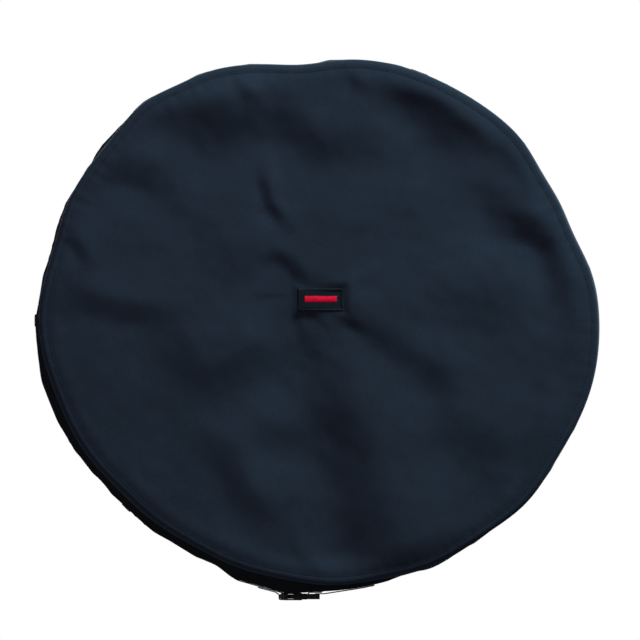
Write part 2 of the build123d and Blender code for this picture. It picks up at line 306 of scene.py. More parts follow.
def face_height(x, z):
    """How far the face stands out in front of its flat CAD plane."""
    total = np.zeros(x.shape)
    for fold in folds:
        total = total + fold_height(x, z, *fold)
    total = total + 0.034 * waves(x, z, soft_crumple) + 0.028 * waves(x, z, fine_crumple)
    under_label = np.maximum(np.abs(x - label_x) - label_half[0], np.abs(z - label_z) - label_half[1])
    total = total * smooth(under_label / (16 * mm) + 0.4)
    t, r = np.arctan2(z, x), np.hypot(x, z)
    inset = rim(t) - r
    total = total - 3 * mm * hump(r, 80 * mm)
    total = total * (0.25 + 0.75 * smooth((inset - 6 * mm) / (34 * mm)))
    total = total - 2.0 * mm * smooth(1 - inset / (26 * mm))
    total = total - 0.5 * mm * hump(inset - stitch_inset, 4.6 * mm)
    puckers = waves(t, 0 * t, pucker_table) * smooth(inset / (5 * mm))
    return total + 0.08 * mm * puckers * hump(inset - stitch_inset - 3 * mm, 15 * mm)


def face_point(x, z, out=0.0):
    """Point on the face, or this far in front of it."""
    return np.stack([x, face_y - face_height(x, z) - out, z], axis=-1)


def shoulder_point(t, part):
    """Point on the turned edge of the face: part is 0 at the face and 1 at the front seam."""
    bend = part * np.pi / 2
    edge = rim(t) - shoulder
    x, z = edge * np.cos(t), edge * np.sin(t)
    tuck = 1.6 * mm * hump(1 - part, 0.16)
    r = edge + shoulder * np.sin(bend) - tuck
    y = face_y + shoulder * (1 - np.cos(bend)) - face_height(x, z) * (1 - part)
    y = y + seam_wander(t) * smooth(part)
    return round_axis(r, t, y)


def seam_wander(t):
    """How far the front seam wanders from its plane."""
    return mm * (0.9 * np.sin(5 * t + 0.7) + 0.7 * np.sin(11 * t + 2.0) + 0.4 * np.sin(23 * t))


def band_radius(t, part):
    """Radius of the band's outside: part is 0 at the front seam and 1 at the rear seam."""
    r = rim(t) + (back_rim(t) - rim(t)) * smooth(part / 0.64)
    near = near_buckle(t)
    r = r + 1.7 * mm * np.sin(np.pi * np.clip(part, 0, 1)) * (1 - near)
    r = r - (0.9 + 1.1 * part) * mm * facet(t) * (1 - near)
    fold = waves(t, part, band_table) * np.sin(np.pi * np.clip(part, 0, 1)) ** 0.7
    ridge = 1 - np.abs(np.tanh(waves(t, part, fine_band_table) * 0.9))
    loose = (1 - 0.85 * near) * (1 - 0.8 * hump(part - strap_part, 0.1))
    r = r + (0.75 * mm * fold + 1.2 * mm * (ridge - 0.5) * smooth(part * 2.5 - 0.6)) * loose
    dip = 1.4 * hump(part * band_length, 3 * mm) + 0.9 * hump((1 - part) * band_length, 3 * mm)
    row = hump((1 - part) * band_length - 3.5 * mm, 1.4 * mm)
    return r - dip * mm - 0.4 * mm * row


def band_point(t, part, out=0.0):
    """Point on the band's outside, or this far outside it."""
    r = band_radius(t, part) + out
    y = front_seam_y + band_length * part + seam_wander(t) * smooth(1 - 4 * part)
    return round_axis(r, t, y)


pleat_count = 46
fine_count = 118
skirt_arc = back_shoulder * np.pi / 2
skirt_flat = radius - back_shoulder - hem_outer
skirt_reach = skirt_arc + skirt_flat


def skirt_lift(t, part):
    """How far the gathered skirt stands off its plain shape."""
    grow = 0.5 * mm + 6.4 * mm * smooth(part * 1.05)
    main = pleat(t, pleat_count) - 0.38
    soft = 0.22 * waves(t, part, skirt_table) * smooth(part * 2)
    return grow * (main + 0.25 * soft) - 1.3 * mm * hump(part * skirt_reach, 3 * mm)


def skirt_point(t, part, out=0.0):
    """Point on the skirt: part is 0 at the rear seam and 1 at the hem."""
    run = part * skirt_reach
    bend = np.clip(run / back_shoulder, 0, np.pi / 2)
    flat = np.clip(run - skirt_arc, 0, None)
    lift = skirt_lift(t, part) + out
    start = back_rim(t) - 1.0 * mm
    end_pull = (start - radius) * (1 - smooth(part))
    r = radius + end_pull - back_shoulder * (1 - np.cos(bend)) - flat + lift * np.cos(bend)
    y = back_seam_y + back_shoulder * np.sin(bend) + lift * np.sin(bend)
    sway = 2.2 * mm * smooth(part) * np.sin(pleat_count * t * 0.5 + 1.3 * np.sin(3 * t))
    angle = t + sway / r
    return round_axis(r, angle, y)


hem_half = 10.3 * mm
hem_centre = hem_outer - hem_half
hem_thick = 2.9 * mm


def hem_lift(t, away):
    """How far the casing stands off its plain ring: away is 1 beside the skirt and 0 at the mouth."""
    return skirt_lift(t, np.ones_like(t)) * (0.35 + 0.6 * away)


def hem_point(t, around):
    """Point on the casing: around is 0 beside the skirt and half a turn at the mouth."""
    away = 0.5 + 0.5 * np.cos(around)
    fine = pleat(t, fine_count, 1.0)
    half = hem_half * (1 - 0.05 * fine)
    r = hem_centre + half * np.cos(around) - 1.8 * mm * (fine - 0.5) * (1 - away)
    thick = hem_thick * (0.62 + 0.62 * fine) * signed_power(np.sin(around), 0.75)
    y = hem_y + hem_lift(t, away) + thick + 0.5 * mm * (fine - 0.5)
    angle = t + hem_sway(t) / r
    return round_axis(r, angle, y)


def hem_sway(t):
    """How far the pleats lean sideways at the hem."""
    return 1.6 * mm * np.sin(pleat_count * t * 0.5 + 1.3 * np.sin(3 * t))


# ---------------------------------------------------------------- meshes
def new_object(name, points, faces, weave=None):
    """Mesh object with smooth faces and the cloth's own coordinates, in metres, for its weave."""
    mesh = bpy.data.meshes.new(name)
    mesh.from_pydata(np.asarray(points, float).reshape(-1, 3).tolist(), [], faces)
    mesh.validate()
    mesh.polygons.foreach_set("use_smooth", [True] * len(mesh.polygons))
    if weave is not None:
        flat = np.zeros((len(mesh.vertices), 3), np.float32)
        flat[:, :2] = np.asarray(weave, float).reshape(-1, 2)
        mesh.attributes.new("weave", "FLOAT_VECTOR", "POINT").data.foreach_set("vector", flat.ravel())
    mesh.update()
    piece = bpy.data.objects.new(name, mesh)
    bpy.context.scene.collection.objects.link(piece)
    return piece


def grid_faces(rows, columns, close_rows=False, close_columns=False, first=0):
    """Quads of a grid of points, which may close on itself either way."""
    last_row = rows if close_rows else rows - 1
    last_column = columns if close_columns else columns - 1
    faces = []
    for i in range(last_row):
        a, b = i * columns, (i + 1) % rows * columns
        for j in range(last_column):
            k = (j + 1) % columns
            faces.append((first + a + j, first + a + k, first + b + k, first + b + j))
    return faces


def thicken(piece, thickness, offset=-1.0):
    """Gives a sheet its cloth's thickness, away from its outside."""
    solid = piece.modifiers.new("cloth", "SOLIDIFY")
    solid.thickness = thickness
    solid.offset = offset
    return piece


def even_normals(piece):
    """Makes all faces of a mesh look the same way."""
    shape = bmesh.new()
    shape.from_mesh(piece.data)
    bmesh.ops.recalc_face_normals(shape, faces=shape.faces)
    shape.to_mesh(piece.data)
    shape.free()


def outward(piece, reference):
    """Turns the faces so that they look away from a point or, where it is None, from the axis."""
    mesh = piece.data
    face = mesh.polygons[len(mesh.polygons) // 2]
    centre = face.center
    away = Vector((centre[0], 0, centre[2])) if reference is None else centre - Vector(reference)
    if face.normal.dot(away) < 0:
        mesh.flip_normals()
    return piece


def threads(name, middles, along, out, length, width, height=None, dive=0.55, rings=5, sides=6):
    """Stitches: small rounded lengths of thread whose ends dive into the cloth."""
    middles, along, out = (np.asarray(a, float) for a in (middles, along, out))
    along = along / np.linalg.norm(along, axis=1, keepdims=True)
    out = out - (out * along).sum(1, keepdims=True) * along
    out = out / np.linalg.norm(out, axis=1, keepdims=True)
    across = np.cross(along, out)
    length = np.broadcast_to(np.asarray(length, float), len(middles))
    height = width if height is None else height
    steps = np.sin(np.linspace(-1, 1, rings) * np.pi / 2)
    fat = np.sqrt(np.clip(1 - np.abs(steps) ** 3, 0.06, 1))
    ring = np.linspace(0, turn, sides, endpoint=False)
    points, faces = [], []
    for n in range(len(middles)):
        first = n * rings * sides
        for s, f in zip(steps, fat):
            centre = middles[n] + along[n] * (s * length[n] / 2) - out[n] * (dive * height * s * s)
            for a in ring:
                points.append(centre + f * (across[n] * (width / 2 * math.cos(a))
                                            + out[n] * (height / 2 * math.sin(a))))
        faces += grid_faces(rings, sides, close_columns=True, first=first)
        faces.append(tuple(first + k for k in range(sides))[::-1])
        faces.append(tuple(first + (rings - 1) * sides + k for k in range(sides)))
    return new_object(name, points, faces)


def row_of_threads(name, place, count, length, width, lift=0.15 * mm):
    """A row of stitches along a line: place(u, out) gives its points for u from 0 to 1."""
    u = (np.arange(count) + 0.5 + draw.uniform(-0.06, 0.06, count)) / count
    step = 0.5 / count
    here = place(u, lift)
    along = place(u + step * 0.6, lift) - place(u - step * 0.6, lift)
    out = place(u, lift + 1 * mm) - here
    return threads(name, here, along, out, length, width)


# ---------------------------------------------------------------- materials
def linear(red, green, blue):
    """Linear colour from the usual 0 to 255 values."""
    return tuple((c / 255 / 12.92) if c <= 10 else ((c / 255 + 0.055) / 1.055) ** 2.4
                 for c in (red, green, blue)) + (1.0,)


class Nodes:
    """A short way to write a material's nodes."""

    def __init__(self, name):
        self.material = bpy.data.materials.new(name)
        self.material.use_nodes = True
        self.tree = self.material.node_tree
        self.shader = self.tree.nodes["Principled BSDF"]

    def add(self, kind, values=(), **settings):
        node = self.tree.nodes.new(kind)
        for key, value in settings.items():
            setattr(node, key, value)
        for key, value in dict(values).items():
            self.put(value, node.inputs[key])
        return node

    def put(self, value, socket):
        if isinstance(value, bpy.types.NodeSocket):
            self.tree.links.new(value, socket)
        else:
            socket.default_value = value

    def maths(self, operation, a, b=0.0):
        return self.add("ShaderNodeMath", {0: a, 1: b}, operation=operation).outputs[0]

    def noise(self, where, scale, detail=3.0, rough=0.55):
        node = self.add("ShaderNodeTexNoise", {"Vector": where, "Scale": scale, "Detail": detail,
                                               "Roughness": rough})
        return node.outputs["Fac"]

    def mix(self, part, a, b):
        node = self.add("ShaderNodeMix", data_type="RGBA")
        self.put(part, node.inputs["Factor"])
        self.put(a, node.inputs["A"])
        self.put(b, node.inputs["B"])
        return node.outputs["Result"]

    def ramp(self, value, low, high, to_low=0.0, to_high=1.0):
        node = self.add("ShaderNodeMapRange", {"Value": value, "From Min": low, "From Max": high,
                                               "To Min": to_low, "To Max": to_high})
        return node.outputs["Result"]

    def bump(self, height, distance, strength=1.0, below=None):
        values = {"Height": height, "Distance": distance, "Strength": strength}
        if below is not None:
            values["Normal"] = below
        return self.add("ShaderNodeBump", values).outputs["Normal"]

    def finish(self, colour, roughness, normal=None, **fixed):
        self.put(colour, self.shader.inputs["Base Color"])
        self.put(roughness, self.shader.inputs["Roughness"])
        if normal is not None:
            self.put(normal, self.shader.inputs["Normal"])
        for key, value in fixed.items():
            self.shader.inputs[key.replace("_", " ")].default_value = value
        return self.material


def woven(name, dark, light, pitch, depth, sheen, specular):
    """Plain woven cloth: crossing yarns of this pitch, uneven yarns, and soft colour variation."""
    n = Nodes(name)
    flat = n.add("ShaderNodeAttribute", attribute_name="weave").outputs["Vector"]
    place = n.add("ShaderNodeTexCoord").outputs["Object"]
    slub = n.add("ShaderNodeVectorMath", {0: flat, 1: (1.0, 9.0, 1.0)}, operation="MULTIPLY").outputs[0]
    cross_slub = n.add("ShaderNodeVectorMath", {0: flat, 1: (9.0, 1.0, 1.0)}, operation="MULTIPLY").outputs[0]
    parts = n.add("ShaderNodeSeparateXYZ", {0: flat})
    warp = n.maths("SINE", n.maths("MULTIPLY", parts.outputs[0], math.pi / pitch))
    weft = n.maths("SINE", n.maths("MULTIPLY", parts.outputs[1], math.pi / pitch))
    yarn = n.maths("ADD", n.maths("MULTIPLY", n.maths("MULTIPLY", warp, weft), 0.5), 0.5)
    uneven = n.maths("ADD", n.noise(slub, 160.0), n.noise(cross_slub, 160.0))
    height = n.maths("ADD", yarn, n.maths("MULTIPLY", uneven, 0.7))
    grain = n.ramp(n.noise(place, 420.0, 2.0), 0.3, 0.7)
    cloud = n.ramp(n.noise(place, 9.0, 4.0), 0.3, 0.7)
    shade = n.maths("ADD", n.maths("MULTIPLY", grain, 0.30),
                    n.maths("ADD", n.maths("MULTIPLY", cloud, 0.35),
                            n.maths("ADD", n.maths("MULTIPLY", yarn, 0.20),
                                    n.maths("MULTIPLY", n.ramp(uneven, 0.7, 1.3), 0.15))))
    colour = n.mix(n.ramp(shade, 0.0, 1.0), dark, light)
    normal = n.bump(height, depth, 0.8)
    rough = n.ramp(cloud, 0.0, 1.0, 0.83, 0.93)
    return n.finish(colour, rough, normal, Sheen_Weight=sheen, Sheen_Roughness=0.45,
                    Sheen_Tint=(0.5, 0.7, 1.0, 1.0), Specular_IOR_Level=specular)


def ribbed(name, dark, light, rib, depth, specular=0.2, sheen=0.1):
    """Narrow woven tape or webbing: diagonal ribs that meet along the middle, and firm edges."""
    n = Nodes(name)
    flat = n.add("ShaderNodeAttribute", attribute_name="weave").outputs["Vector"]
    parts = n.add("ShaderNodeSeparateXYZ", {0: flat})
    along, across = parts.outputs[0], n.maths("ABSOLUTE", parts.outputs[1])
    slant = n.maths("ADD", along, n.maths("MULTIPLY", across, 0.7))
    twill = n.maths("SINE", n.maths("MULTIPLY", slant, 2 * math.pi / rib))
    cords = n.maths("SINE", n.maths("MULTIPLY", across, 2 * math.pi / (rib * 0.8)))
    height = n.maths("ADD", n.maths("MULTIPLY", twill, 0.6), n.maths("MULTIPLY", cords, 0.4))
    fuzz = n.noise(flat, 900.0, 2.0)
    shade = n.ramp(n.maths("ADD", height, fuzz), -0.6, 1.8)
    colour = n.mix(shade, dark, light)
    normal = n.bump(n.maths("ADD", height, fuzz), depth, 0.9)
    return n.finish(colour, n.ramp(fuzz, 0.3, 0.7, 0.72, 0.9), normal, Sheen_Weight=sheen,
                    Sheen_Roughness=0.4, Specular_IOR_Level=specular)


def thread_material(name, dark, light, specular=0.3, roughness=0.6, sheen=0.15):
    """Twisted sewing thread."""
    n = Nodes(name)
    place = n.add("ShaderNodeTexCoord").outputs["Object"]
    twist = n.add("ShaderNodeTexWave", {"Vector": place, "Scale": 900.0, "Distortion": 2.0, "Detail": 1.0},
                  bands_direction="DIAGONAL").outputs["Fac"]
    wear = n.noise(place, 60.0)
    colour = n.mix(n.maths("MULTIPLY", n.maths("ADD", twist, wear), 0.5), dark, light)
    return n.finish(colour, n.ramp(wear, 0.3, 0.7, roughness - 0.08, roughness + 0.08),
                    n.bump(twist, 0.12 * mm, 0.7), Sheen_Weight=sheen, Specular_IOR_Level=specular)


def plastic(name, dark, light):
    """Moulded acetal: glossy, with faint mould texture and rubbed edges."""
    n = Nodes(name)
    place = n.add("ShaderNodeTexCoord").outputs["Object"]
    skin = n.noise(place, 1400.0, 2.0)
    scuff = n.noise(place, 120.0, 6.0, 0.7)
    edge = n.ramp(n.add("ShaderNodeNewGeometry").outputs["Pointiness"], 0.5, 0.6)
    worn = n.maths("MULTIPLY", edge, n.ramp(scuff, 0.4, 0.7))
    lightness = n.maths("ADD", n.maths("MULTIPLY", scuff, 0.35), n.maths("MULTIPLY", worn, 0.6))
    colour = n.mix(lightness, dark, light)
    return n.finish(colour, n.ramp(scuff, 0.35, 0.7, 0.2, 0.42), n.bump(skin, 0.02 * mm, 0.5),
                    Specular_IOR_Level=0.5)


navy = woven("navy_canvas", linear(27, 38, 49), linear(40, 54, 68), 0.7 * mm, 0.12 * mm,
             sheen=0.05, specular=0.04)
black = woven("black_canvas", linear(15, 16, 18), linear(31, 33, 36), 0.8 * mm, 0.14 * mm,
              sheen=0.0, specular=0.0)
tape_cloth = ribbed("binding_tape", linear(20, 22, 24), linear(34, 36, 38), 1.1 * mm, 0.15 * mm)
webbing = ribbed("webbing", linear(13, 14, 15), linear(30, 31, 32), 1.9 * mm, 0.3 * mm, specular=0.08,
                 sheen=0.02)
elastic_cloth = ribbed("elastic_tape", linear(150, 150, 146), linear(205, 204, 198), 1.2 * mm, 0.25 * mm)
navy_thread = thread_material("navy_thread", linear(18, 26, 35), linear(28, 38, 50), specular=0.08,
                              sheen=0.02)
black_thread = thread_material("black_thread", linear(18, 19, 20), linear(46, 48, 50))
label_ground = woven("label_ground", linear(12, 22, 28), linear(28, 42, 51), 0.35 * mm, 0.08 * mm,
                     sheen=0.02, specular=0.06)
label_thread = thread_material("label_thread", linear(12, 16, 24), linear(40, 50, 62), roughness=0.5)
red_thread = thread_material("red_satin_thread", linear(200, 8, 42), linear(255, 26, 78), specular=0.12,
                             roughness=0.5, sheen=0.0)
buckle_black = plastic("moulded_black", linear(13, 14, 15), linear(44, 46, 48))


def dress(piece, material, slot, body, *nodes):
    """Gives a piece its material, its body and the CAD nodes that it stands for; the slot argument is not
    used.
    """
    piece.data.materials.clear()
    piece.data.materials.append(material)
    if nodes:
        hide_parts(*nodes)
    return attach(piece, body)


# ---------------------------------------------------------------- round face
def disc_grid(cells):
    """A square grid pressed into a disc of radius 1: its points' radius and angle, row by row."""
    a, b = np.meshgrid(np.linspace(-1, 1, cells + 1), np.linspace(-1, 1, cells + 1), indexing="ij")
    wide = np.abs(a) > np.abs(b)
    safe_a, safe_b = np.where(a == 0, 1, a), np.where(b == 0, 1, b)
    r = np.where(wide, a, b)
    t = np.where(wide, np.pi / 4 * b / safe_a, np.pi / 2 - np.pi / 4 * a / safe_b)
    t = np.where(r < 0, t + np.pi, t)
    return np.abs(r), t


def make_front_panel():
    """The navy panel with its folds, turned over the shoulder to the front seam."""
    cells = 168
    r, t = disc_grid(cells)
    dense = 22 * mm
    reach = r * (0.62 + 0.38 * r) * (rim(t) - shoulder - dense)
    x, z = reach * np.cos(t), reach * np.sin(t)
    points = [face_point(x, z).reshape(-1, 3)]
    weave = [np.stack([x, z], axis=-1).reshape(-1, 2)]
    side = cells + 1
    edge = [i * side for i in range(cells)] + [cells * side + i for i in range(cells)]
    edge += [cells * side + cells - i * side for i in range(cells)] + [cells - i for i in range(cells)]
    spokes = t.ravel()[edge]
    rows, bend_rows = 16, 10
    for part in np.linspace(0, 1, rows + 1)[1:]:
        r = rim(spokes) - shoulder - dense * (1 - part)
        points.append(face_point(r * np.cos(spokes), r * np.sin(spokes)))
        weave.append(np.stack([r * np.cos(spokes), r * np.sin(spokes)], axis=-1))
    for part in np.linspace(0, 1, bend_rows + 1)[1:]:
        points.append(shoulder_point(spokes, np.full_like(spokes, part)))
        r = rim(spokes) - shoulder + shoulder * part * np.pi / 2
        weave.append(np.stack([r * np.cos(spokes), r * np.sin(spokes)], axis=-1))
    faces = grid_faces(side, side)
    first = side * side
    rings = [edge] + [[first + k * len(edge) + i for i in range(len(edge))] for k in range(rows + bend_rows)]
    for inner, outer in zip(rings, rings[1:]):
        for i in range(len(edge)):
            k = (i + 1) % len(edge)
            faces.append((inner[i], inner[k], outer[k], outer[i]))
    piece = new_object("navy_front_panel", np.concatenate(points), faces, np.concatenate(weave))
    even_normals(piece)
    outward(piece, (0, 0.5, 0))
    thicken(piece, cloth)
    return dress(piece, navy, "navy_cloth", "root", "front_panel")


def face_line(u, out):
    """The topstitched line round the face."""
    t = np.asarray(u) * turn
    r = rim(t) - stitch_inset
    return face_point(r * np.cos(t), r * np.sin(t), out)


def make_face_topstitch():
    stitches = row_of_threads("face_topstitch_threads", face_line, 500, 3.3 * mm, 0.85 * mm)
    return dress(stitches, navy_thread, "navy_thread", "root", "face_topstitch")


# ---------------------------------------------------------------- rings of cloth and tape
def make_ring(name, place, rows, columns, start, length, close_rows=False, close_columns=True):
    """Ring-shaped mesh: place(t, part) gives its points; the weave runs round and across."""
    t = np.linspace(start, start + length, columns, endpoint=not close_columns)
    parts = np.linspace(0, 1, rows, endpoint=not close_rows)
    points = np.stack([place(t, np.full_like(t, p)) for p in parts])
    across = np.concatenate([[0], np.cumsum(np.linalg.norm(np.diff(points[:, 0], axis=0), axis=1))])
    weave = np.stack(np.broadcast_arrays(t[None, :] * radius, across[:, None]), axis=-1)
    return new_object(name, points, grid_faces(rows, columns, close_rows, close_columns), weave)


lap = 12 * mm / radius


def make_side_band():
    """The black band, one strip whose ends are lapped and sewn."""
    def place(t, part):
        lift = 1.1 * mm * smooth((t - join_angle - turn + lap + 0.004) / 0.006)
        return band_point(t, part, lift)

    piece = make_ring("black_side_band", place, 52, 900, join_angle - lap, turn + 2 * lap,
                      close_columns=False)
    outward(piece, None)
    thicken(piece, cloth)
    return dress(piece, black, "black_cloth", "root", "side_band")


def make_band_join():
    """Two rows of stitches over the lap, and the tape behind it."""
    rows = []
    end = (strap_y - web_width / 2 - 7 * mm - front_seam_y) / band_length
    for side in (-0.55, 0.55):
        def line(u, out, angle=join_angle + side * lap):
            part = 0.02 + u * (end - 0.02)
            return band_point(np.full_like(part, angle), part, 1.1 * mm + out)

        rows.append(row_of_threads(f"join_row_{len(rows)}", line, 34, 3.0 * mm, 0.8 * mm))
    stitches = joined("band_join_threads", rows)
    dress(stitches, black_thread, "black_thread", "root", "band_join_stitching")

    def inside(t, around):
        half = np.clip(3.2 * np.cos(around * turn), -1, 1)
        angle = join_angle + lap * half * 0.98
        deep = cloth + 0.6 * mm + 0.4 * mm * np.sin(around * turn)
        return band_point(angle, t, -deep)

    part = np.linspace(0.02, 0.98, 60)
    around = np.linspace(0, 1, 20, endpoint=False)
    points = np.stack([inside(part, np.full_like(part, a)) for a in around])
    weave = np.stack(np.broadcast_arrays(part[None, :] * band_length, (around * 0.048)[:, None]), axis=-1)
    faces = grid_faces(20, 60, close_rows=True)
    faces.append(tuple(k * 60 for k in range(20)))
    faces.append(tuple(k * 60 + 59 for k in range(20))[::-1])
    tape = new_object("band_join_tape_strip", points, faces, weave)
    return dress(tape, tape_cloth, "binding", "root", "band_join_tape")


def joined(name, pieces):
    """One object made of several meshes."""
    points, faces = [], []
    for piece in pieces:
        first = len(points)
        points += [tuple(v.co) for v in piece.data.vertices]
        faces += [tuple(first + k for k in f.vertices) for f in piece.data.polygons]
        bpy.data.objects.remove(piece)
    return new_object(name, points, faces)


def make_rear_skirt():
    piece = make_ring("black_rear_skirt", skirt_point, 44, 1104, 0, turn)
    outward(piece, (0, 0, 0))
    thicken(piece, cloth)
    return dress(piece, black, "black_cloth", "root", "rear_skirt")


def make_rear_seam_stitching():
    def line(u, out):
        t = np.asarray(u) * turn
        return band_point(t, np.full_like(t, 1 - 3.5 * mm / band_length), out)

    stitches = row_of_threads("rear_seam_threads", line, 510, 3.2 * mm, 0.8 * mm)
    return dress(stitches, black_thread, "black_thread", "root", "rear_seam_stitching")


def make_hem():
    """The gathered casing, the elastic in it and the stitching that closes it."""
    casing = make_ring("hem_casing_tube", lambda t, p: hem_point(t, p * turn), 22, 1416, 0, turn,
                       close_rows=True)
    outward(casing, (0, hem_y, hem_centre))
    dress(casing, black, "black_cloth", "root", "hem_casing")

    def core(t, part):
        around = part * turn
        half = 0.45 * elastic_width
        r = hem_centre + half * signed_power(np.cos(around), 0.4)
        away = 0.5 + 0.5 * (r - hem_centre) / hem_half
        fine = pleat(t, fine_count, 1.0)
        thick = 0.5 * mm * signed_power(np.sin(around), 0.6)
        y = hem_y + hem_lift(t, away) + thick + 0.5 * mm * (fine - 0.5)
        angle = t + hem_sway(t) / r
        return round_axis(r, angle, y)

    elastic = make_ring("elastic_band", core, 12, 708, 0, turn, close_rows=True)
    outward(elastic, (0, hem_y, hem_centre))
    dress(elastic, elastic_cloth, "elastic", "root", "hem_elastic")

    def line(u, out):
        t = np.asarray(u) * turn
        top = hem_point(t, np.full_like(t, math.radians(38)))
        return top + np.array([0.0, out, 0.0])

    stitches = row_of_threads("hem_threads", line, 440, 2.7 * mm, 0.8 * mm, lift=0.25 * mm)
    dress(stitches, black_thread, "black_thread", "root", "hem_stitching")
    return casing, elastic, stitches


def make_seam_tape(name, node, place_edge, seam_y):
    """Binding folded over the raw edges inside a seam, a little wavy."""
    def place(t, part):
        around = part * turn
        reach, half = 5 * mm, 1.3 * mm
        depth = reach * signed_power(np.cos(around), 0.35)
        thick = half * signed_power(np.sin(around), 0.6)
        wavy = 0.5 * mm * np.sin(47 * t) + 0.35 * mm * np.sin(83 * t + 1)
        r = place_edge(t) - 2.6 * mm - reach + depth
        y = seam_y + thick + wavy * (0.5 - 0.5 * depth / reach)
        return round_axis(r, t, y)

    piece = make_ring(name, place, 16, 480, 0, turn, close_rows=True)
    outward(piece, (0, seam_y, radius - 7.6 * mm))
    return dress(piece, tape_cloth, "binding", "root", node)


# ---------------------------------------------------------------- label
def label_point(u, v, out):
    """Point on or above the label, in metres from its middle."""
    return face_point(label_x + u, label_z + v, out)


def make_label():
    """Woven patch with folded edges, its border stitching and a plain red satin-stitched bar."""
    half_u, half_v = label_half
    rise = face_y - patch_low[1]
    u, v = np.meshgrid(np.linspace(-1, 1, 73), np.linspace(-1, 1, 41))
    edge = np.minimum(half_u * (1 - np.abs(u)), half_v * (1 - np.abs(v)))
    folded_edge = 0.16 * mm * smooth((2.6 * mm - edge) / (0.5 * mm))
    out = rise * (0.35 + 0.65 * smooth(edge / (0.7 * mm))) + folded_edge
    points = label_point(u * half_u, v * half_v, out)
    weave = np.stack([u * half_u, v * half_v], axis=-1)
    patch = new_object("woven_label_patch", points, grid_faces(41, 73), weave)
    outward(patch, (0, 0.5, 0))
    thicken(patch, 0.5 * mm)
    dress(patch, label_ground, "label_cloth", "root", "label_patch")

    inset = 1.5 * mm
    a, b = half_u - inset, half_v - inset
    spots, ways = [], []
    corners = np.array([(-a, -b), (a, -b), (a, b), (-a, b)])
    for start, end in zip(corners, np.roll(corners, -1, axis=0)):
        count = int(round(np.linalg.norm(end - start) / (2.3 * mm)))
        for k in range(count):
            spots.append(start + (end - start) * (k + 0.5) / count)
            ways.append(end - start)
    spots, ways = np.array(spots), np.array(ways)
    here = label_point(spots[:, 0], spots[:, 1], rise + 0.28 * mm)
    along = np.stack([ways[:, 0], 0 * ways[:, 0], ways[:, 1]], axis=-1)
    out_way = np.tile([0.0, -1.0, 0.0], (len(spots), 1))
    stitches = threads("label_border_threads", here, along, out_way, 1.8 * mm, 0.6 * mm)
    dress(stitches, label_thread, "black_thread", "root", "label_stitching")

    width, height = bar_high[0] - bar_low[0], bar_high[2] - bar_low[2]
    middle = ((bar_low[0] + bar_high[0]) / 2 - label_x, (bar_low[2] + bar_high[2]) / 2 - label_z)
    count = int(width / (0.56 * mm))
    across = middle[0] + width * ((np.arange(count) + 0.5) / count - 0.5)
    up = middle[1] + draw.uniform(-0.12, 0.12, count) * mm
    here = label_point(across, up, rise + 0.42 * mm)
    along = np.tile([0.0, 0.0, 1.0], (count, 1))
    along[:, 0] = 0.05
    lengths = height + draw.uniform(-0.35, 0.35, count) * mm
    out_way = np.tile([0.0, -1.0, 0.0], (count, 1))
    bar = threads("red_satin_bar", here, along, out_way, lengths, 0.66 * mm, 0.62 * mm, dive=0.9, rings=9)
    dress(bar, red_thread, "label_red", "root", "label_bar")
    return patch, stitches, bar


# ---------------------------------------------------------------- cinch strap
loop_x = socket_low[0] + 5.9 * mm
buckle_in, buckle_out = -socket_high[2], -socket_low[2]
inner_pass, outer_pass = buckle_in + 0.95 * mm, buckle_out - 0.85 * mm
strap_radius = radius + web / 2
half_part = web_width / 2 / band_length

ride_angles = np.linspace(-np.pi / 2, 3 * np.pi / 2, 1441)
ride_under = [band_radius(ride_angles, np.full_like(ride_angles, strap_part + k * half_part))
              for k in (-0.9, -0.45, 0, 0.45, 0.9)]
ride_top = np.max(ride_under, axis=0)
for _ in range(3):
    ride_top = np.mean([np.roll(ride_top, k) for k in range(-2, 3)], axis=0)


def strap_ride(t):
    """Radius of the webbing's middle: drawn tight over the band, and on the CAD's circle at the buckle."""
    turned = (np.asarray(t) + np.pi / 2) % turn - np.pi / 2
    on_band = np.interp(turned, ride_angles, ride_top) - 0.25 * mm + web / 2
    away = smooth((np.abs(wrapped(t + np.pi / 2)) - math.radians(strap_leaves)) / math.radians(1.5))
    return strap_radius + (on_band - strap_radius) * away


def on_circle(r, angle):
    """Point at an angle from straight down, positive to the right."""
    return np.array([r * math.sin(angle), -r * math.cos(angle)])


def touch_angle(x, depth, r):
    """Angle from straight down at which a line from this point touches the circle."""
    side = 1 if x > 0 else -1
    return side * (math.atan2(abs(x), depth) + math.acos(r / math.hypot(x, depth)))


def cornered(points, corner, count=7):
    """Polyline with its inner corners rounded by arcs of this radius."""
    points = [np.array(p, float) for p in points]
    out = [points[0]]
    for before, here, after in zip(points, points[1:], points[2:]):
        a, b = before - here, after - here
        la, lb = np.linalg.norm(a), np.linalg.norm(b)
        a, b = a / la, b / lb
        half = math.acos(max(-1, min(1, float(a @ b)))) / 2
        cut = min(corner / math.tan(half), 0.49 * la, 0.49 * lb)
        size = cut * math.tan(half)
        centre = here + (a + b) / np.linalg.norm(a + b) * (size / math.sin(half))
        start, end = here + a * cut - centre, here + b * cut - centre
        sweep = math.pi - 2 * half
        sign = np.sign(start[0] * end[1] - start[1] * end[0])
        for k in range(count + 1):
            w = sign * sweep * k / count
            out.append(centre + np.array([start[0] * math.cos(w) - start[1] * math.sin(w),
                                          start[0] * math.sin(w) + start[1] * math.cos(w)]))
    out.append(points[-1])
    return np.array(out)


def evenly(line, step):
    """The same line with points at even steps, corners kept."""
    line = np.asarray(line, float)
    out = [line[0]]
    for a, b in zip(line, line[1:]):
        count = max(1, int(round(np.linalg.norm(b - a) / step)))
        out += [a + (b - a) * k / count for k in range(1, count + 1)]
    return np.array(out)


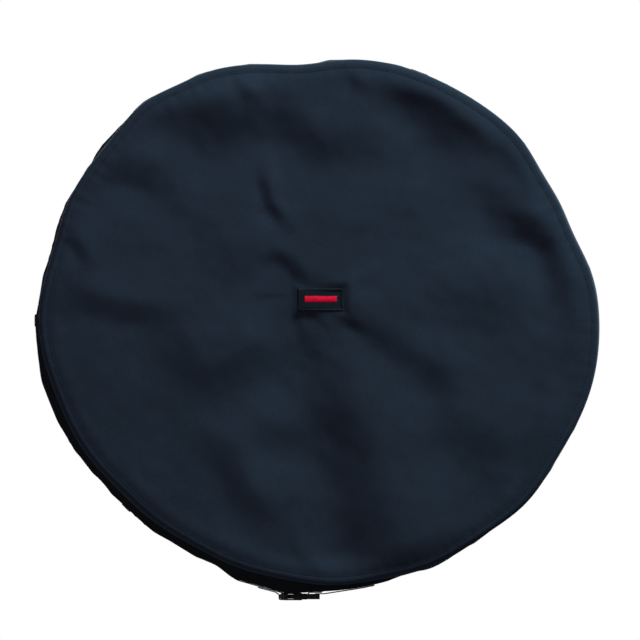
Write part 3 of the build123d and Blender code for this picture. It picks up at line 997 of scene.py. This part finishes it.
def sweep_webbing(name, line, y_middle, width, thick, wave=None):
    """Webbing along a line in the XZ plane: rounded edges, closed ends, slightly uneven."""
    line = np.asarray(line, float)
    step = np.gradient(line, axis=0)
    step = step / np.linalg.norm(step, axis=1, keepdims=True)
    out = np.stack([step[:, 1], -step[:, 0]], axis=-1)
    length = np.concatenate([[0], np.cumsum(np.linalg.norm(np.diff(line, axis=0), axis=1))])
    around = np.linspace(0, turn, 20, endpoint=False)
    across = width / 2 * signed_power(np.cos(around), 0.3)
    high = thick / 2 * signed_power(np.sin(around), 0.55)
    shift = np.zeros(len(line)) if wave is None else wave(length)
    points = np.zeros((len(line), 20, 3))
    for k in range(20):
        flat = line + out * high[k]
        points[:, k, 0], points[:, k, 2] = flat[:, 0], flat[:, 1]
        points[:, k, 1] = y_middle + across[k] + shift
    weave = np.stack(np.broadcast_arrays(length[:, None], across[None, :]), axis=-1)
    faces = grid_faces(len(line), 20, close_columns=True)
    faces.append(tuple(range(20))[::-1])
    faces.append(tuple((len(line) - 1) * 20 + k for k in range(20)))
    return new_object(name, points, faces, weave)


touch_left = touch_angle(loop_x, inner_pass, strap_radius)
touch_point = on_circle(strap_radius, touch_left)
run = np.array([loop_x, -inner_pass]) - touch_point
run_length = float(np.linalg.norm(run))
run_way = run / run_length
run_out = np.array([run_way[1], -run_way[0]])
lay_back = web + 0.2 * mm


def on_run(distance, out):
    """Point this far along the straight run to the socket, and this far outside it."""
    return touch_point + run_way * distance + run_out * out


def make_cinch_strap():
    """Webbing from beside the plug, round the band, through the socket's slot and sewn back."""
    start = math.asin((plug_high[0] + 6 * mm) / strap_radius)
    t = np.linspace(-np.pi / 2 + start, 3 * np.pi / 2 + touch_left, 900)
    r = strap_ride(t)
    ring = np.stack([r * np.cos(t), r * np.sin(t)], axis=-1)
    turn_x = socket_low[0] - 0.95 * mm
    tail = cornered([touch_point, (loop_x, -inner_pass), (loop_x, -outer_pass), (turn_x, -outer_pass),
                     (turn_x, -inner_pass - lay_back), on_run(run_length - 12 * mm, lay_back),
                     on_run(25 * mm, lay_back)], 1.3 * mm)
    line = np.concatenate([ring[:-1], evenly(tail, 2.5 * mm)])

    def wander(length):
        return 0.35 * mm * np.sin(length * 19) + 0.2 * mm * np.sin(length * 47 + 1)

    strap = sweep_webbing("cinch_webbing", line, strap_y, web_width, web, wander)
    dress(strap, webbing, "webbing", "root", "cinch_strap")

    spots, ways, outs = [], [], []
    for row in np.linspace(27 * mm, 37 * mm, 4):
        for k in np.linspace(-0.42, 0.42, 7):
            x, z = on_run(row, lay_back + web / 2 + 0.1 * mm)
            spots.append((x, strap_y + k * web_width, z))
            slanted = (run_way[0], 0.8 * np.sign(k + 0.01), run_way[1])
            ways.append(slanted if 28 * mm < row < 36 * mm else (0, 1, 0))
            outs.append((run_out[0], 0, run_out[1]))
    stitches = threads("anchor_threads", spots, ways, outs, 2.5 * mm, 0.7 * mm)
    dress(stitches, black_thread, "black_thread", "root", "anchor_stitching")
    return strap, stitches


def make_strap_tail():
    """Webbing through the plug's bars and its free end, which ride with the plug."""
    load = radius + 2.35 * mm
    tail = load + web + 0.5 * mm
    over = (buckle_in + buckle_out) / 2 + 2.05 * mm
    mouth_x = socket_high[0]
    turn_x = (mouth_x + 6 * mm - 3.6 * mm) / 2
    drop_x = (plug_high[0] - 3.4 * mm) / 2
    tail_radius = radius + 1.5 * web + 0.3 * mm
    leave = (plug_high[0] + 6 * mm, -tail)
    touch = touch_angle(leave[0], tail, tail_radius)
    end = math.radians(13.0)
    through = cornered([(plug_high[0] + 3 * mm, -load), (turn_x, -load), (turn_x, -over), (drop_x, -over),
                        (drop_x, -tail), leave, on_circle(tail_radius, touch)], 1.6 * mm)
    bend = [on_circle(tail_radius, a) for a in np.linspace(touch, end, 24)]
    line = np.concatenate([evenly(through, 1.2 * mm), bend[1:]])
    piece = sweep_webbing("webbing_tail", line, strap_y, web_width, web)
    dress(piece, webbing, "webbing", "plug", "strap_tail")

    spots, ways, outs = [], [], []
    for angle in (end - math.radians(0.5), end - math.radians(2.1)):
        for k in np.linspace(-0.42, 0.42, 8):
            x, z = on_circle(tail_radius + web / 2 + 0.1 * mm, angle)
            spots.append((x, strap_y + k * web_width, z))
            ways.append((0, 1, 0))
            outs.append((math.sin(angle), 0, -math.cos(angle)))
    stitches = threads("tail_threads", spots, ways, outs, 2.1 * mm, 0.7 * mm)
    dress(stitches, black_thread, "black_thread", "plug", "tail_stitching")
    return piece, stitches


def make_strap_guide(number, angle):
    """One cloth loop: two sewn feet, and a bridge over the webbing."""
    strap_top = float(strap_ride(np.array([angle]))[0]) + web / 2
    lip = 0.45 * web_width + 5 * mm
    across = np.concatenate([np.linspace(-17, -12.4, 7), np.linspace(-12, -10, 6), np.linspace(-9, 9, 13),
                             np.linspace(10, 12, 6), np.linspace(12.4, 17, 7)]) * mm
    along = np.linspace(-7.5, 7.5, 13) * mm
    points, weave = [], []
    for y in across:
        over = smooth((12.2 * mm - abs(y)) / (2.0 * mm))
        row = []
        for x in along:
            t = angle + x / radius
            foot = float(band_radius(np.array([t]), np.array([strap_part + y / band_length]))[0]) + 0.75 * mm
            top = strap_top + 0.95 * mm + 0.25 * mm * math.cos(y / lip)
            r = foot + (max(top, foot) - foot) * over
            r -= 0.5 * mm * hump(7.5 * mm - abs(x), 0.9 * mm)
            row.append((r * math.cos(t), strap_y + y, r * math.sin(t)))
        points.append(row)
        weave.append([(x, y) for x in along])
    faces = grid_faces(len(across), len(along))
    piece = new_object(f"guide_loop_{number}", points, faces, np.array(weave))
    outward(piece, None)
    thicken(piece, 0.9 * mm)
    return dress(piece, webbing, "webbing", "root", f"strap_guide_{number}")


def make_bartacks():
    """Dense tacks across both feet of every guide."""
    spots, ways, outs = [], [], []
    for angle in guide_angles:
        side = np.array([-math.sin(angle), 0, math.cos(angle)])
        for foot in (-14.6 * mm, 14.6 * mm):
            for x in np.linspace(-5.2, 5.2, 19) * mm:
                t = angle + x / radius
                part = np.array([strap_part + foot / band_length])
                r = float(band_radius(np.array([t]), part)[0]) + 0.95 * mm
                spots.append((r * math.cos(t), strap_y + foot, r * math.sin(t)))
                ways.append(side * 0.12 + np.array([0, 1, 0]))
                outs.append((math.cos(t), 0, math.sin(t)))
    piece = threads("guide_bartack_threads", spots, ways, outs, 2.0 * mm, 0.62 * mm)
    return dress(piece, black_thread, "black_thread", "root", "guide_bartacks")


# ---------------------------------------------------------------- build every piece
panel = make_front_panel()
panel_stitches = make_face_topstitch()
band = make_side_band()
make_band_join()
skirt = make_rear_skirt()
make_rear_seam_stitching()
hem_pieces = make_hem()
make_seam_tape("front_binding", "front_seam_tape", rim, front_seam_y)
make_seam_tape("rear_binding", "rear_seam_tape", back_rim, back_seam_y)
label_pieces = make_label()
make_cinch_strap()
make_strap_tail()
for number, angle in enumerate(guide_angles, 1):
    make_strap_guide(number, angle)
make_bartacks()

for name in ("buckle_socket", "buckle_plug", "buckle_prong_front", "buckle_prong_rear"):
    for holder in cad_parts[name].material_slots:
        holder.material = buckle_black


# ---------------------------------------------------------------- floor, light and camera
def make_stage():
    """Pale floor far below the cover, and a white surround that only the camera sees."""
    bpy.ops.mesh.primitive_circle_add(radius=9, vertices=96, fill_type="NGON", location=(0, 0, -2.4))
    floor = bpy.context.object
    floor.name = "floor"
    pale = Nodes("pale_floor").finish((0.30, 0.30, 0.31, 1.0), 0.9, Specular_IOR_Level=0.1,
                                      Emission_Color=(0.93, 0.95, 0.97, 1.0), Emission_Strength=0.8)
    floor.data.materials.append(pale)
    floor.visible_diffuse = False
    floor.visible_glossy = False
    bpy.ops.mesh.primitive_uv_sphere_add(radius=28, segments=48, ring_count=24, location=(0, 0, 0))
    surround = bpy.context.object
    surround.name = "surround"
    glow = bpy.data.materials.new("white_surround")
    glow.use_nodes = True
    glow.node_tree.nodes.clear()
    light = glow.node_tree.nodes.new("ShaderNodeEmission")
    light.inputs["Color"].default_value = (1.0, 1.0, 1.0, 1.0)
    out = glow.node_tree.nodes.new("ShaderNodeOutputMaterial")
    glow.node_tree.links.new(light.outputs[0], out.inputs["Surface"])
    surround.data.materials.append(glow)
    for ray in ("diffuse", "glossy", "transmission", "volume_scatter", "shadow"):
        setattr(surround, f"visible_{ray}", False)


def make_light(name, place, size, power, colour=(1.0, 1.0, 1.0)):
    """Round lamp of this size that faces the cover's middle."""
    data = bpy.data.lights.new(name, "AREA")
    data.shape = "DISK"
    data.size = size
    data.energy = power
    data.color = colour
    lamp = bpy.data.objects.new(name, data)
    lamp.location = place
    lamp.rotation_euler = (-Vector(place)).to_track_quat("-Z", "Y").to_euler()
    bpy.context.scene.collection.objects.link(lamp)


def make_lights():
    """A key from the upper right in front, warm and low fills, and lamps for the back and sides."""
    world = bpy.data.worlds.new("studio")
    world.use_nodes = True
    background = world.node_tree.nodes["Background"].inputs
    background["Color"].default_value = (0.93, 0.96, 1.0, 1.0)
    background["Strength"].default_value = 0.09
    bpy.context.scene.world = world
    make_light("key", (1.75, -1.5, 3.3), 0.9, 213, (0.89, 1.0, 1.0))
    make_light("front_fill", (-1.6, -4.0, 0.8), 2.0, 43, (1.0, 0.48, 0.56))
    make_light("low_fill", (-0.6, 0.8, -2.2), 2.4, 14, (0.9, 0.95, 1.0))
    make_light("back_key", (-0.9, 3.4, 3.0), 1.2, 430)
    make_light("back_fill", (3.4, 2.2, 0.9), 1.4, 460)
    make_light("left_fill", (-3.4, 2.4, 0.8), 1.4, 45)


def make_camera():
    """A long lens, a little below and to the left, so the band shows at the lower left."""
    data = bpy.data.cameras.new("camera")
    data.lens = 440
    data.sensor_width = 36
    data.clip_end = 100
    camera = bpy.data.objects.new("camera", data)
    azimuth, elevation, distance = math.radians(-2.9), math.radians(-1.5), 10.0
    back = Vector((math.sin(azimuth) * math.cos(elevation), -math.cos(azimuth) * math.cos(elevation),
                   math.sin(elevation)))
    aim = Vector((1.0 * mm, face_y, -3.0 * mm))
    camera.location = aim + back * distance
    camera.rotation_euler = (-back).to_track_quat("-Z", "Y").to_euler()
    bpy.context.scene.collection.objects.link(camera)
    bpy.context.scene.camera = camera


make_stage()
make_lights()
make_camera()
bpy.context.scene.view_settings.view_transform = "Standard"
